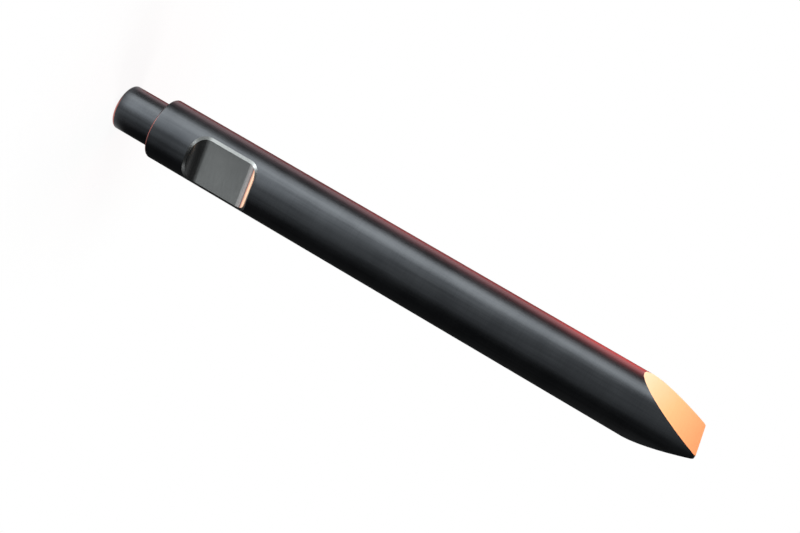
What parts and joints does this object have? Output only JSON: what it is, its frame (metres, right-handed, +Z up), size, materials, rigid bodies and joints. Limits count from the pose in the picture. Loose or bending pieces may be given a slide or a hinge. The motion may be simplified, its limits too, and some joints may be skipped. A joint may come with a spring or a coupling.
{
  "type": "hydraulic breaker chisel",
  "caption": "Black steel hydraulic breaker chisel: a round bar with a reduced striking end, one milled retaining flat and a two-sided wedge point.",
  "frame": {"origin": "centre of the striking face, which the chisel stands on", "axes": "+Z up the bar to the cutting edge; the retaining flat faces -Y; the cutting edge runs along Y and the wedge faces look to -X and +X"},
  "size_m": [0.14, 0.14, 1.4],
  "materials": {
    "blackened_steel": "satin"
  },
  "bodies": {
    "root": {"chisel": "blackened_steel"}
  },
  "joints": []
}
